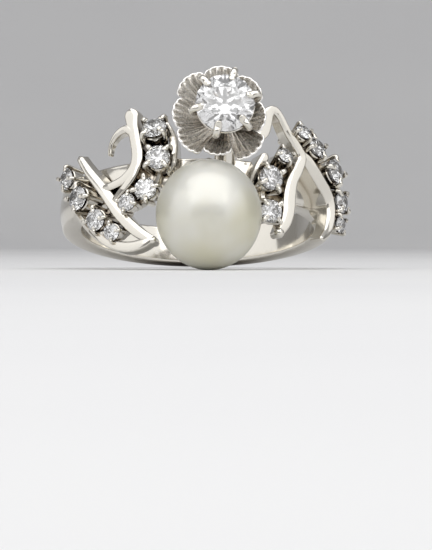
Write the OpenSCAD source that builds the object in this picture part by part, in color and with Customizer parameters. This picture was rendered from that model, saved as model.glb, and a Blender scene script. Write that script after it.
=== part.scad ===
// Toi et moi ring: a pearl and a round diamond side by side on a pierced crown.
// The ring lies on its side with the finger hole upright. The origin is the
// centre of the finger hole. X runs across the finger, -Y points at the crown
// and the ring leans about X until the pearl and the back of the band touch
// one level surface.

/* [Band] */
// Diameter of the finger hole
bore_d = 17; // [15:0.1:20]
// Thickness of the band
band_t = 1.6; // [1.3:0.05:2.2]
// Width of the band along the finger
band_w = 2.7; // [2.2:0.1:4]
// Radius of the domed outside of the band's section
band_dome = 4; // [2.5:0.5:12]

/* [Pearl] */
// Width of the pearl across the finger
pearl_w = 7.5; // [6:0.1:8.5]
// Height of the pearl along the finger
pearl_h = 7.9; // [6:0.1:8.8]
// Distance from the outside of the band to the centre of the pearl
pearl_lift = 3.3; // [3:0.1:4.5]
// Distance across the finger from the middle of the ring to the pearl
pearl_across = 0.8; // [-1:0.1:1.5]
// Distance along the finger from the middle of the band to the pearl
pearl_along = 3.85; // [3.4:0.05:4.5]
// Lean of the pearl's cup away from the crown's outward direction
cup_lean = 41; // [30:1:50]
// Diameter of the fluted cup under the pearl
cup_d = 5.2; // [3.6:0.1:6]
// Wall of the cup
cup_wall = 0.35; // [0.25:0.05:0.5]
// Number of flutes round the cup
cup_flutes = 20; // [12:1:30]
// Diameter of the post that the pearl sits on
post_d = 0.8; // [0.6:0.05:1.2]
// Length of the post inside the pearl
post_depth = 3; // [2:0.1:4]

/* [Centre diamond] */
// Diameter of the centre diamond
centre_d = 4.25; // [3.5:0.05:4.8]
// Distance from the outside of the band to the centre diamond's girdle
centre_lift = 4.7; // [4.2:0.1:5.5]
// Distance across the finger from the middle of the ring to the centre diamond
centre_across = 1.95; // [1:0.05:2.5]
// Distance along the finger from the middle of the band to the centre diamond
centre_along = 3.95; // [3.5:0.05:4.6]
// Number of prongs round the centre diamond
centre_prongs = 6; // [4:1:8]
// Width of a prong of the centre diamond
centre_prong_w = 0.55; // [0.4:0.05:0.7]
// Angle of the first prong of the centre diamond
centre_prong_turn = 14; // [0:1:60]

/* [Flower] */
// Radius of the flower's rim
flower_r = 3.55; // [3:0.05:3.9]
// Radius of the flower's foot
flower_foot_r = 1; // [0.7:0.05:1.4]
// Height of the flower from foot to rim
flower_h = 2.4; // [1.8:0.1:3]
// Distance of the flower's rim below the girdle of the centre diamond
flower_drop = 1.4; // [1:0.1:2]
// Wall of the flower's petals
flower_wall = 0.32; // [0.25:0.01:0.45]
// Depth of the notches between the petals
notch = 0.4; // [0.2:0.05:0.8]
// Height of a flute on a petal
flute = 0.1; // [0.04:0.01:0.16]
// Number of flutes on each petal
petal_flutes = 5; // [3:2:7]
// Angle of the middle of the first petal
petal_turn = 42; // [0:1:90]
// Diameter of the stem under the flower
stem_d = 1.7; // [1.2:0.1:2]

/* [Straps] */
// Rise of the straps above the outside of the band
strap_rise = 1.25; // [0.9:0.05:1.6]
// Width of a strap of full width
strap_w = 0.75; // [0.5:0.05:0.9]
// Bevel along the top edges of a strap
strap_bevel = 0.12; // [0.05:0.01:0.2]
// Lift of a strap's underside where it hangs beside the band
strap_undercut = 0.65; // [0.2:0.05:0.8]
// Half length of the pierced crown along the finger
crown_half = 6; // [5.4:0.1:6.4]

/* [Side diamonds] */
// Diameter of the largest side diamond
side_d = 1.9; // [1.6:0.05:2]
// Height of the side diamonds' girdles above the outside of the band
side_lift = 1.5; // [1.3:0.05:1.8]
// Width of a prong of a side diamond
side_prong_w = 0.4; // [0.25:0.01:0.45]
// Wall of the seat under a side diamond
seat_wall = 0.26; // [0.2:0.01:0.35]

/* [Clearances] */
// Gap between a diamond and its seat or prongs
stone_gap = 0.04; // [0.03:0.01:0.08]
// Gap between the point of a side diamond and the gallery under it
point_gap = 0.12; // [0.08:0.01:0.2]
// Gap between the pearl and its cup or post
pearl_gap = 0.05; // [0.03:0.01:0.1]

/* [Hidden] */
// Share of a diamond's diameter in its table, crown, girdle and pavilion.
TABLE_SHARE = 0.56;
CROWN_SHARE = 0.16;
GIRDLE_SHARE = 0.03;
PAVILION_SHARE = 0.43;
// Ring of points halfway up the crown and lowest ring of points on the
// pavilion, as shares of the diamond's radius.
STAR_SHARE = (1 + TABLE_SHARE) / 2;
LOW_SHARE = 0.25;
// Steepest rise of the crown, from the girdle to a star point, and the fall of
// the pavilion.
CROWN_SLOPE = 2 * CROWN_SHARE / (1 - TABLE_SHARE);
STEEP_SLOPE = CROWN_SLOPE * (1 - STAR_SHARE * cos(22.5)) / (1 - STAR_SHARE);
PAVILION_SLOPE = 2 * PAVILION_SHARE;

// Share of a prong's width that reaches in over the stone, and the width of
// its shoulder and of its tip as shares of its width.
PRONG_GRIP = 0.35;
PRONG_SHOULDER = 0.8;
PRONG_TIP = 0.4;
// Inward taper of a seat as a share of the stone's radius.
SEAT_TAPER = 0.12;
// Depth of a side diamond's seat and of its prongs, as shares of the height
// of its girdle over the straps' foot, and the place of a prong's foot as a
// share of the stone's diameter.
SEAT_REACH = 0.72;
PRONG_REACH = 0.8;
PRONG_FOOT = 0.45;
// Depth of the centre diamond's seat as a share of its diameter, and the place
// of its prongs' feet as a share of flower_foot_r.
CENTRE_SEAT_REACH = 0.3;
CENTRE_PRONG_FOOT = 0.7;
// Share of the band's thickness that the crown sinks into it.
SINK = 0.25;
// Share of crown_half over which the underside of a strap lifts.
LIFT_RUN = 0.2;
// Width of a gallery bar as a share of strap_w, and its lift beside the band
// as a share of strap_undercut.
GALLERY_WIDTH = 0.7;
GALLERY_LIFT = 0.45;
// Powers that shape the petals' flare and rise, and the lift of their inside
// as a share of flower_wall.
PETAL_FLARE = 0.85;
PETAL_RISE = 1.3;
PETAL_LIFT = 0.6;
// Share of a flute's height that shows both outwards and downwards.
FLUTE_SLANT = 0.7;
// Power that rounds a petal's outline between its notches.
PETAL_ROUND = 0.5;
// Depth by which soldered parts run into each other.
JOIN = 0.1;
// Width of the bracket on the back of the pearl's cup at its inner and outer
// end, as shares of cup_d, and its length as a share of cup_wall.
BRACKET_FOOT = 0.5;
BRACKET_END = 0.35;
BRACKET_LENGTH = 2.5;
// Size of the ball at the end of the right arch, and its depth under the
// straps' top, as shares of strap_w.
BALL_SIZE = 1.1;
BALL_DEPTH = 0.4;

// Facets round the band, round a rod, round the seats and the ball.
BAND_FACETS = 96;
ROD_FACETS = 16;
SEAT_FACETS = 10;
CENTRE_SEAT_FACETS = 18;
BALL_FACETS = 24;
HOLE_FACETS = 24;
PEARL_FACETS = 36;
PRONG_SIDES = 5;
SMOOTH_STEPS = 2;
FLOWER_ROWS = 4;
CUP_ROWS = 3;
// Part of the cup's first row that stays open to keep its centre round.
CUP_CENTRE = 0.02;

bore_r = bore_d / 2;
band_r = bore_r + band_t;
core_r = bore_r + SINK * band_t;
strap_r0 = band_r - SINK * band_t;
strap_top = band_r + strap_rise;
pearl_out = band_r + pearl_lift;
cup_r = pearl_w / 2 + pearl_gap;
cup_spread = asin(cup_d / 2 / (cup_r + cup_wall));
centre_out = band_r + centre_lift;
side_out = band_r + side_lift;
gallery_top = side_out - (PAVILION_SHARE + GIRDLE_SHARE / 2) * side_d - point_gap;
flower_top = centre_out - flower_drop;
flower_foot = flower_top - flower_h;

// Lean at which the pearl and the back edge of the band touch one level surface.
rest_reach = pearl_out + band_r;
rest_side = pearl_along - band_w / 2;
function lean_on(r) = asin(r / norm([rest_reach, rest_side])) + atan2(rest_side, rest_reach);
lean_first = lean_on(pearl_h / 2);
rest_lean = lean_on(norm([pearl_w / 2 * sin(lean_first), pearl_h / 2 * cos(lean_first)]));

// Side diamonds. Columns: turn round the finger in degrees, place along the
// finger as a share of crown_half, diameter as a share of side_d, lean along
// the finger in degrees and angle of the first prong in degrees.
TURN = 0;
ALONG = 1;
SIZE = 2;
LEAN = 3;
FIRST = 4;
SIDE_STONES = [
    [-54.7, 0.12, 0.78, 0, 80],
    [-48.2, -0.17, 0.94, 0, 85],
    [-39.3, -0.50, 0.84, -8, 90],
    [-32.1, -0.69, 0.66, -12, 90],
    [-15.6, 0.54, 0.98, 30, 50],
    [-14.2, 0.17, 0.96, 8, 40],
    [-18.7, -0.21, 0.88, 0, 5],
    [-26.0, -0.35, 0.70, 0, 75],
    [33.0, 0.27, 0.68, 25, 10],
    [27.1, -0.04, 0.96, 0, 30],
    [27.1, -0.46, 0.88, -8, 45],
    [41.4, 0.61, 0.70, 30, 13],
    [48.3, 0.465, 0.85, 22, 15],
    [59.6, 0.255, 0.98, 10, 88],
    [64.2, -0.09, 0.88, 0, 54],
    [63.2, -0.38, 0.68, -8, 38],
];

// Straps. Columns: turn round the finger in degrees, place along the finger
// as a share of crown_half, width as a share of strap_w, roll of the top in
// degrees and open share of the strap's height under it.
WIDTH = 2;
ROLL = 3;
OPEN = 4;
LEFT_RAIL = [
    [-48.2, 0.33, 0.75, -30, 0.6], [-44.2, 0.162, 0.95, -30, 0.55], [-39.8, -0.007, 1.05, -25, 0.3],
    [-35.7, -0.172, 1.15, -20, 0], [-29.2, -0.48, 1.2, -8, 0], [-22.8, -0.7, 1.15, 0, 0],
    [-16.6, -0.83, 0.8, 0, 0]
];
LEFT_EDGE = [
    [-53, -0.22, 0.6, 0, 0], [-47, -0.46, 0.7, 0, 0], [-40, -0.67, 0.85, 0, 0],
    [-33, -0.82, 0.95, 0, 0], [-26.5, -0.885, 1.05, 0, 0], [-21, -0.87, 1, 0, 0],
    [-17, -0.815, 0.8, 0, 0]
];
LEFT_HOOK = [
    [-33.9, 0.3, 0.4, 15, 0.75], [-33.3, 0.41, 0.5, 15, 0.7], [-31.4, 0.51, 0.6, 15, 0.6],
    [-28.8, 0.565, 0.75, 10, 0.5], [-26.5, 0.575, 0.85, 0, 0.4], [-24.2, 0.52, 0.9, 0, 0.4]
];
LEFT_SCROLL = [
    [-24.9, 0.735, 1.45, 0, 0], [-24.6, 0.62, 1.2, 0, 0], [-23.4, 0.44, 1.15, 0, 0],
    [-22.5, 0.23, 1.2, 0, 0], [-23.8, 0.075, 1.15, 0, 0], [-28, -0.04, 0.9, 0, 0],
    [-32.2, -0.09, 0.85, 0, 0], [-36.2, -0.11, 0.7, 0, 0]
];
LEFT_BRANCH = [
    [-22.9, 0.14, 1.1, 0, 0], [-24.6, -0.02, 0.9, 0, 0], [-27.6, -0.14, 0.8, 0, 0],
    [-31.5, -0.27, 0.7, 0, 0]
];
LEFT_POST = [
    [-11.2, 0.58, 0.55, 0, 0], [-9.6, 0.47, 0.7, 0, 0], [-8.7, 0.34, 0.85, 0, 0],
    [-9, 0.12, 0.7, 0, 0], [-10.5, 0, 0.55, 0, 0]
];
RIGHT_ARCH = [
    [23.8, 0.42, 0.45, 0, 0], [24.4, 0.53, 1.45, 0, 0], [25.4, 0.66, 1.55, 0, 0],
    [27, 0.775, 1.2, 0, 0], [29.4, 0.82, 0.9, 8, 0], [31.9, 0.745, 0.75, 20, 0],
    [35.2, 0.57, 0.8, 22, 0], [38.8, 0.44, 0.9, 22, 0], [41.8, 0.31, 0.95, 15, 0],
    [40, 0.15, 1.1, 12, 0], [37.2, -0.01, 1.15, 12, 0], [35.9, -0.18, 1.3, 12, 0],
    [35.3, -0.39, 1.3, 12, 0], [34, -0.545, 1.15, 8, 0], [31.6, -0.68, 0.85, 0, 0]
];
RIGHT_RAIL = [
    [42.2, 0.33, 0.9, 15, 0], [44.6, 0.275, 1.1, 25, 0], [47.6, 0.18, 1.15, 32, 0],
    [51.2, 0.075, 1.15, 35, 0], [55.2, -0.03, 1.1, 35, 0], [57.8, -0.14, 1.05, 35, 0],
    [58.4, -0.255, 1, 35, 0], [57.8, -0.38, 1, 32, 0], [56, -0.51, 0.9, 28, 0],
    [52.6, -0.62, 0.6, 20, 0]
];
RIGHT_POST = [
    [25.2, 0.22, 0.9, 0, 0], [22.8, 0.1, 0.8, 0, 0], [21.2, -0.01, 0.65, 0, 0],
    [20.2, -0.1, 0.5, 0, 0]
];
STRAPS = [
    LEFT_RAIL, LEFT_EDGE, LEFT_HOOK, LEFT_SCROLL, LEFT_BRANCH, LEFT_POST,
    RIGHT_ARCH, RIGHT_RAIL, RIGHT_POST
];

// Galleries under the stones. Each row of numbers names the side diamonds
// that one gallery bar joins, in order.
GALLERIES = [
    [0, 1, 2, 3], [4, 5, 6, 7], [8, 9, 10], [11, 12, 13, 14, 15]
];
// Tie bars between the galleries and the straps, each from one point to
// another. Columns: turn and place along the finger, like those of the straps.
TIES = [
    [[-39.3, -0.50], [-35.0, -0.24]],
    [[-32.1, -0.69], [-26.6, -0.58]],
    [[-15.6, 0.54], [-23.4, 0.45]],
    [[-14.2, 0.17], [-22.4, 0.20]],
    [[-13.7, 0.175], [-9.5, 0.20]],
    [[33.0, 0.27], [41.5, 0.24]],
    [[27.1, -0.04], [36.0, -0.12]],
    [[26.6, -0.03], [22.0, 0.05]],
    [[27.1, -0.46], [34.2, -0.46]],
    [[41.4, 0.61], [36.6, 0.52]],
    [[48.3, 0.465], [46.0, 0.24]],
    [[59.6, 0.255], [54.6, 0.0]],
    [[63.2, -0.38], [57.2, -0.38]]
];

// Reach of each petal as a share of flower_r, first petal first.
PETAL_REACH = [1.0, 1.02, 1.03, 0.95, 0.98, 0.86, 1.08, 0.94];
petals = len(PETAL_REACH);
// Sideways place of the flower's rim against the centre diamond, across and
// along the finger, as shares of flower_r.
FLOWER_SHIFT = [-0.11, -0.12];

function side_name(i) = str("side_diamond_", i + 1 < 10 ? "0" : "", i + 1);
function stone_size(row) = row[SIZE] * side_d;

// Points on a smooth curve through the rows of a table.
function between(a, b, c, d, t) =
    0.5 * (2 * b + (c - a) * t + (2 * a - 5 * b + 4 * c - d) * t * t + (3 * b - a - 3 * c + d) * t * t * t);
function clamp_row(rows, i) = rows[max(0, min(len(rows) - 1, i))];
function smooth(rows, steps) = [
    for (i = [0:len(rows) - 2], k = [0:steps - 1])
        between(clamp_row(rows, i - 1), rows[i], rows[i + 1], clamp_row(rows, i + 2), k / steps),
    rows[len(rows) - 1]
];

// Leans the ring from upright on its axis to where it rests.
module at_rest() {
    rotate([-rest_lean, 0, 0]) children();
}

// Places its children on the ring, their Z pointing out from the finger.
module on_ring(turn, along, out) {
    rotate([0, 0, turn]) translate([0, -out, along]) rotate([90, 0, 0]) children();
}

// Places its children at a side diamond's girdle.
module at_side_stone(row) {
    on_ring(row[TURN], row[ALONG] * crown_half, side_out) rotate([-row[LEAN], 0, 0]) children();
}

// Places its children at the centre diamond's axis, at a distance from the finger's axis.
module at_centre(out) {
    translate([centre_across, -out, centre_along]) rotate([90, 0, 0]) children();
}

// Places its children at the pearl's centre, their Z pointing back at the cup
// and stretched along the finger like the pearl where stretch says so.
module at_pearl(stretch = 1) {
    translate([pearl_across, -pearl_out, -pearl_along]) scale([1, 1, stretch])
        rotate([cup_lean - 90, 0, 0]) children();
}

// A round brilliant with its girdle at Z 0.
module brilliant(d) {
    r = d / 2;
    table_r = TABLE_SHARE * r;
    girdle = GIRDLE_SHARE * d / 2;
    star_r = STAR_SHARE * r;
    low_r = LOW_SHARE * r;
    half = 22.5;
    table_z = girdle + CROWN_SHARE * d;
    star_z = girdle + (r - star_r * cos(half)) * CROWN_SLOPE;
    low_z = -girdle - (r - low_r * cos(half)) * PAVILION_SLOPE;
    points = concat(
        [for (k = [0:7]) [table_r * cos(45 * k), table_r * sin(45 * k), table_z]],
        [for (k = [0:7]) [star_r * cos(45 * k + half), star_r * sin(45 * k + half), star_z]],
        [for (k = [0:15]) [r * cos(half * k), r * sin(half * k), girdle]],
        [for (k = [0:15]) [r * cos(half * k), r * sin(half * k), -girdle]],
        [for (k = [0:7]) [low_r * cos(45 * k + half), low_r * sin(45 * k + half), low_z]],
        [[0, 0, -girdle - PAVILION_SHARE * d]]
    );
    star = 8;
    top = 16;
    bottom = 32;
    low = 48;
    culet = 56;
    faces = concat(
        [[for (k = [7:-1:0]) k]],
        [for (k = [0:7]) [(k + 1) % 8, star + k, k]],
        [for (k = [0:7]) [k, star + k, top + 2 * k, star + (k + 7) % 8]],
        [for (k = [0:7]) [star + k, top + 2 * k + 1, top + 2 * k]],
        [for (k = [0:7]) [star + k, top + (2 * k + 2) % 16, top + 2 * k + 1]],
        [for (k = [0:15]) [top + k, top + (k + 1) % 16, bottom + (k + 1) % 16, bottom + k]],
        [for (k = [0:7]) [bottom + 2 * k, bottom + 2 * k + 1, low + k]],
        [for (k = [0:7]) [bottom + 2 * k + 1, bottom + (2 * k + 2) % 16, low + k]],
        [for (k = [0:7]) [bottom + 2 * k, low + k, culet, low + (k + 7) % 8]]
    );
    polyhedron(points, faces);
}

// A bored seat that tapers down from under a diamond's girdle.
module seat(d, wall, depth, sides) {
    r = d / 2;
    inner = r - wall;
    drop = GIRDLE_SHARE * r + (wall + stone_gap) * PAVILION_SLOPE;
    taper = SEAT_TAPER * r;
    rotate_extrude($fn = sides)
        polygon([[inner, -drop], [r, -drop], [r - taper, -depth], [inner - taper, -depth]]);
}

// Prongs that rise past a diamond's girdle and close over its crown.
module prongs(d, count, width, depth, foot_r, first) {
    r = d / 2;
    girdle = GIRDLE_SHARE * r;
    grip = PRONG_GRIP * width;
    claw_r = r - grip + PRONG_SHOULDER * width / 2;
    claw_z = girdle + grip * STEEP_SLOPE + stone_gap * norm([1, STEEP_SLOPE]);
    // Columns: distance from the diamond's axis, height over the girdle, width.
    OUT = 0;
    HEIGHT = 1;
    WIDE = 2;
    levels = [
        [foot_r, -depth, width],
        [r + stone_gap + width / 2, -girdle - stone_gap, width],
        [r + stone_gap + width / 2, girdle + stone_gap, width],
        [claw_r, claw_z, PRONG_SHOULDER * width],
        [claw_r, claw_z + PRONG_TIP * width, PRONG_TIP * width]
    ];
    step = 360 / PRONG_SIDES;
    for (k = [0:count - 1]) rotate([0, 0, first + 360 * k / count])
        shell([for (level = levels) [for (i = [0:PRONG_SIDES - 1])
            [level[OUT], 0, level[HEIGHT]] - level[WIDE] / 2 * [cos(step * i), sin(step * i), 0]
        ]]);
}

// The metal that holds one side diamond.
module side_setting(row) {
    d = stone_size(row);
    depth = side_out - strap_r0;
    at_side_stone(row) {
        seat(d, seat_wall, SEAT_REACH * depth, SEAT_FACETS);
        prongs(d, 4, side_prong_w, PRONG_REACH * depth, PRONG_FOOT * d, row[FIRST]);
    }
}

// Distance from the finger's axis to the underside of a bar, which lifts beside the band.
function underside(along, lift) =
    let (t = max(0, min(1, (abs(along) - band_w / 2) / (LIFT_RUN * crown_half))))
    strap_r0 + lift * t * t * (3 - 2 * t);

// Outline of a bar's bevelled section, as steps sideways and distances from
// the finger's axis. The top is rolled about its middle.
function bar_section(w, foot, top, roll) =
    let (
        edge = w / 2 - strap_bevel,
        upper = [[w / 2, -strap_bevel], [edge, 0], [-edge, 0], [-w / 2, -strap_bevel]]
    )
    concat(
        [[w / 2, foot]],
        [for (p = upper) [p[0] * cos(roll) - p[1] * sin(roll), top + p[0] * sin(roll) + p[1] * cos(roll)]],
        [[-w / 2, foot]]
    );

// Direction sideways of a path over the ring at its point i, as steps round and along.
function sideways(path, i) =
    let (
        a = path[max(i - 1, 0)],
        b = path[min(i + 1, len(path) - 1)],
        round_step = (b[TURN] - a[TURN]) * PI / 180 * strap_top,
        along_step = (b[ALONG] - a[ALONG]) * crown_half
    )
    [-along_step, round_step] / norm([along_step, round_step]);

// Point of a section that stands on a path over the ring.
function on_path(row, side, step) =
    let (round_step = side[0] * step[0], along_step = side[1] * step[0])
    [
        step[1] * sin(row[TURN]) + round_step * cos(row[TURN]),
        -step[1] * cos(row[TURN]) + round_step * sin(row[TURN]),
        row[ALONG] * crown_half + along_step
    ];

// A bevelled bar that follows a table of points round the ring.
module bar(rows, top, lift, steps) {
    path = smooth(rows, steps);
    shell([
        for (i = [0:len(path) - 1])
            let (
                row = path[i],
                side = sideways(path, i),
                hung = top - (1 - row[OPEN]) * (top - strap_r0),
                foot = max(underside(row[ALONG] * crown_half, lift), hung)
            )
            [for (step = bar_section(row[WIDTH] * strap_w, foot, top, row[ROLL])) on_path(row, side, step)]
    ]);
}

module straps() {
    last = RIGHT_ARCH[len(RIGHT_ARCH) - 1];
    for (rows = STRAPS) bar(rows, strap_top, strap_undercut, SMOOTH_STEPS);
    on_ring(last[TURN], last[ALONG] * crown_half, strap_top - BALL_DEPTH * strap_w)
        sphere(d = BALL_SIZE * strap_w, $fn = BALL_FACETS);
}

// Low bars that carry the side diamonds and tie them to the straps.
module galleries() {
    stone_rows = [for (stones = GALLERIES) [for (i = stones) SIDE_STONES[i]]];
    for (points = concat(stone_rows, TIES))
        bar(
            [for (point = points) [point[TURN], point[ALONG], GALLERY_WIDTH, 0, 0]],
            gallery_top, GALLERY_LIFT * strap_undercut, 1
        );
}

// Radius of the flower's edge at an angle from the middle of its first petal.
function petal_wave(a) = pow(abs(cos(a * petals / 2)), PETAL_ROUND);
function petal_reach(a) =
    let (place = a / 360 * petals, i = floor(place + 0.5))
    PETAL_REACH[(i + petals) % petals];
function flower_edge(a) = flower_r * petal_reach(a) - notch * (1 - petal_wave(a));

// A ruffled flower cup open towards the centre diamond.
module flower() {
    columns = petals * petal_flutes * 2;
    function ring(j, inset) = [
        for (k = [0:columns - 1])
            let (
                a = k * 360 / columns,
                t = j / FLOWER_ROWS,
                ruffle = flute * t * cos(a * petals * petal_flutes),
                flare = (flower_edge(a) - flower_foot_r) * pow(t, PETAL_FLARE),
                r = flower_foot_r + flare + FLUTE_SLANT * ruffle - inset,
                turn = a + petal_turn
            )
            [
                FLOWER_SHIFT[0] * flower_r * t + r * cos(turn),
                FLOWER_SHIFT[1] * flower_r * t + r * sin(turn),
                flower_h * pow(t, PETAL_RISE) - FLUTE_SLANT * ruffle + PETAL_LIFT * inset
            ]
    ];
    outer = [for (j = [0:FLOWER_ROWS]) ring(j, 0)];
    inner = [for (j = [FLOWER_ROWS:-1:0]) ring(j, flower_wall)];
    shell(concat(outer, inner));
}

// A closed solid through rings of points, capped at both ends.
module shell(rings) {
    n = len(rings[0]);
    m = len(rings);
    points = [for (ring = rings) each ring];
    faces = concat(
        [[for (k = [0:n - 1]) k]],
        [for (j = [0:m - 2], k = [0:n - 1])
            let (a = j * n + k, b = j * n + (k + 1) % n, c = a + n, d = b + n)
            each [[a, c, b], [b, c, d]]],
        [[for (k = [n - 1:-1:0]) (m - 1) * n + k]]
    );
    polyhedron(points, faces);
}

// The stem, basket and prongs that carry the centre diamond.
module centre_setting() {
    prong_depth = centre_out - flower_foot - flower_wall / 3;
    prong_foot = CENTRE_PRONG_FOOT * flower_foot_r;
    hull() {
        on_ring(asin(centre_across / strap_r0), band_w / 4, strap_r0)
            cylinder(d = stem_d, h = JOIN, $fn = ROD_FACETS);
        at_centre(flower_foot - JOIN) cylinder(d = stem_d, h = flower_wall, $fn = ROD_FACETS);
    }
    at_centre(flower_foot) flower();
    at_centre(centre_out) {
        prongs(centre_d, centre_prongs, centre_prong_w, prong_depth, prong_foot, centre_prong_turn);
        seat(centre_d, seat_wall, CENTRE_SEAT_REACH * centre_d, CENTRE_SEAT_FACETS);
    }
}

// The fluted cup, its post and its bracket under the pearl.
module pearl_cup() {
    columns = 2 * cup_flutes;
    function ring(j, r, wave) = [
        for (k = [0:columns - 1])
            let (
                spread = cup_spread * max(j, CUP_CENTRE) / CUP_ROWS,
                out = r + (k % 2 == 0 ? wave * j / CUP_ROWS : 0),
                a = -360 * k / columns
            )
            [out * sin(spread) * cos(a), out * sin(spread) * sin(a), out * cos(spread)]
    ];
    outer = [for (j = [0:CUP_ROWS]) ring(j, cup_r + cup_wall, flute)];
    inner = [for (j = [CUP_ROWS:-1:0]) ring(j, cup_r, 0)];
    at_pearl(pearl_h / pearl_w) shell(concat(outer, inner));
    at_pearl() {
        translate([0, 0, cup_r - post_depth])
            cylinder(d = post_d, h = post_depth + cup_wall, $fn = ROD_FACETS);
        translate([0, 0, cup_r + cup_wall / 2])
            cylinder(
                d1 = BRACKET_FOOT * cup_d, d2 = BRACKET_END * cup_d,
                h = BRACKET_LENGTH * cup_wall, $fn = ROD_FACETS
            );
    }
}

// The plain band with a domed outside.
module band() {
    color("silver") at_rest() rotate_extrude($fn = BAND_FACETS)
        intersection() {
            translate([bore_r, -band_w / 2]) square([band_t, band_w]);
            translate([band_r - band_dome, 0]) circle(band_dome, $fn = BAND_FACETS);
        }
}

// The pierced crown that is soldered to the band.
module crown() {
    color("silver") at_rest() difference() {
        union() {
            straps();
            galleries();
            for (row = SIDE_STONES) side_setting(row);
            centre_setting();
            pearl_cup();
        }
        cylinder(r = core_r, h = 4 * crown_half, center = true, $fn = BAND_FACETS);
    }
}

// The pearl with its blind hole.
module pearl() {
    color("ivory") at_rest() difference() {
        translate([pearl_across, -pearl_out, -pearl_along])
            scale([pearl_w, pearl_w, pearl_h]) sphere(d = 1, $fn = PEARL_FACETS);
        at_pearl() translate([0, 0, cup_r - post_depth - pearl_gap])
            cylinder(d = post_d + 2 * pearl_gap, h = 2 * post_depth, $fn = HOLE_FACETS);
    }
}

module centre_diamond() {
    color("white") at_rest() at_centre(centre_out) brilliant(centre_d);
}

module side_diamond(row) {
    color("white") at_rest() at_side_stone(row) brilliant(stone_size(row));
}

band();  // mounting
crown();  // mounting
pearl();
centre_diamond();
for (i = [0:len(SIDE_STONES) - 1])
    side_diamond(SIDE_STONES[i]);
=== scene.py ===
import logging
from collections.abc import Sequence
from dataclasses import dataclass, field
from enum import Enum
from math import asin, atan2, cos, degrees, floor, hypot, pi, radians, sin, sqrt

import bmesh
import bpy
from bpy.types import Material, Node, NodeSocket, NodeTree, Object
from mathutils import Matrix, Vector


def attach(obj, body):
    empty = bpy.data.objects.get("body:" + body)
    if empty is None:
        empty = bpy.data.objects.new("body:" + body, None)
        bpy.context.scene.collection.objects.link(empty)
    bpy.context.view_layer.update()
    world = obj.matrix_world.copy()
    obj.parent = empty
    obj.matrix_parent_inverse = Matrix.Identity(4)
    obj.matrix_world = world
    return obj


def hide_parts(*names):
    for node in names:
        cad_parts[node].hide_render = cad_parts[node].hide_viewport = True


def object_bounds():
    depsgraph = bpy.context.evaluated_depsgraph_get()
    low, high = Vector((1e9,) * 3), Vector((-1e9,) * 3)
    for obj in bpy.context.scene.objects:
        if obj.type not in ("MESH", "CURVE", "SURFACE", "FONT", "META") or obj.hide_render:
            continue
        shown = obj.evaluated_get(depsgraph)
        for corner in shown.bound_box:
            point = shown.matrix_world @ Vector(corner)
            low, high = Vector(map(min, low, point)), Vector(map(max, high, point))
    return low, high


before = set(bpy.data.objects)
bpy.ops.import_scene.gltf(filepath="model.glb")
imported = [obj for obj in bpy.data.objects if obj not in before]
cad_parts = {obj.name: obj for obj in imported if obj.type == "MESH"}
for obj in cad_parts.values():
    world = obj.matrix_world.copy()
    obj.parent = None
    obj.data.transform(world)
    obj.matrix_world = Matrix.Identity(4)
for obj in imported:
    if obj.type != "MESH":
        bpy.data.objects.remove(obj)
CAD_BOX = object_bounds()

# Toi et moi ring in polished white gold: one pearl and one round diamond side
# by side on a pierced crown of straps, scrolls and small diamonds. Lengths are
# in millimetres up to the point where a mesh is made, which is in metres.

MM = 0.001
# Radius in millimetres at which a turned profile ends beside its axis.
POLE_R = 0.02
LOG = logging.getLogger("toi_et_moi_ring")
# The rows of a table of numbers.
Rows = Sequence[Sequence[float]]


class Slot(Enum):
    """The material slots named in the log."""

    WHITE_GOLD = "white_gold"
    PEARL = "pearl"
    DIAMOND = "diamond"


class Grip(Enum):
    """How a diamond is held: how many claws stand round it."""

    FOUR_CLAW = 4
    SIX_CLAW = 6


def turned(angle: float, axis: str) -> Matrix:
    """Returns the rotation by an angle in degrees about one axis."""
    return Matrix.Rotation(radians(angle), 4, axis)


def moved(x: float, y: float, z: float) -> Matrix:
    """Returns the translation by a step in millimetres."""
    return Matrix.Translation((x, y, z))


def round_angles(count: int) -> list[float]:
    """Returns even steps round one turn in radians."""
    return [2 * pi * k / count for k in range(count)]


def polar(r: float, angle: float, z: float) -> Vector:
    """Returns the point at a distance from Z, an angle in radians and a height."""
    return Vector((r * cos(angle), r * sin(angle), z))


def quarter(
    middle: tuple[float, float], size: tuple[float, float], first: float, steps: int
) -> list[tuple[float, float]]:
    """Returns points on a quarter of an ellipse.

    Args:
        middle: The ellipse's middle.
        size: Its half width and half height.
        first: Angle of the first point in degrees.
        steps: Number of steps to the last point.

    Returns:
        The points in counter-clockwise order.
    """
    angles = [radians(first + 90 * k / steps) for k in range(steps + 1)]
    return [(middle[0] + size[0] * cos(a), middle[1] + size[1] * sin(a)) for a in angles]


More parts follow.
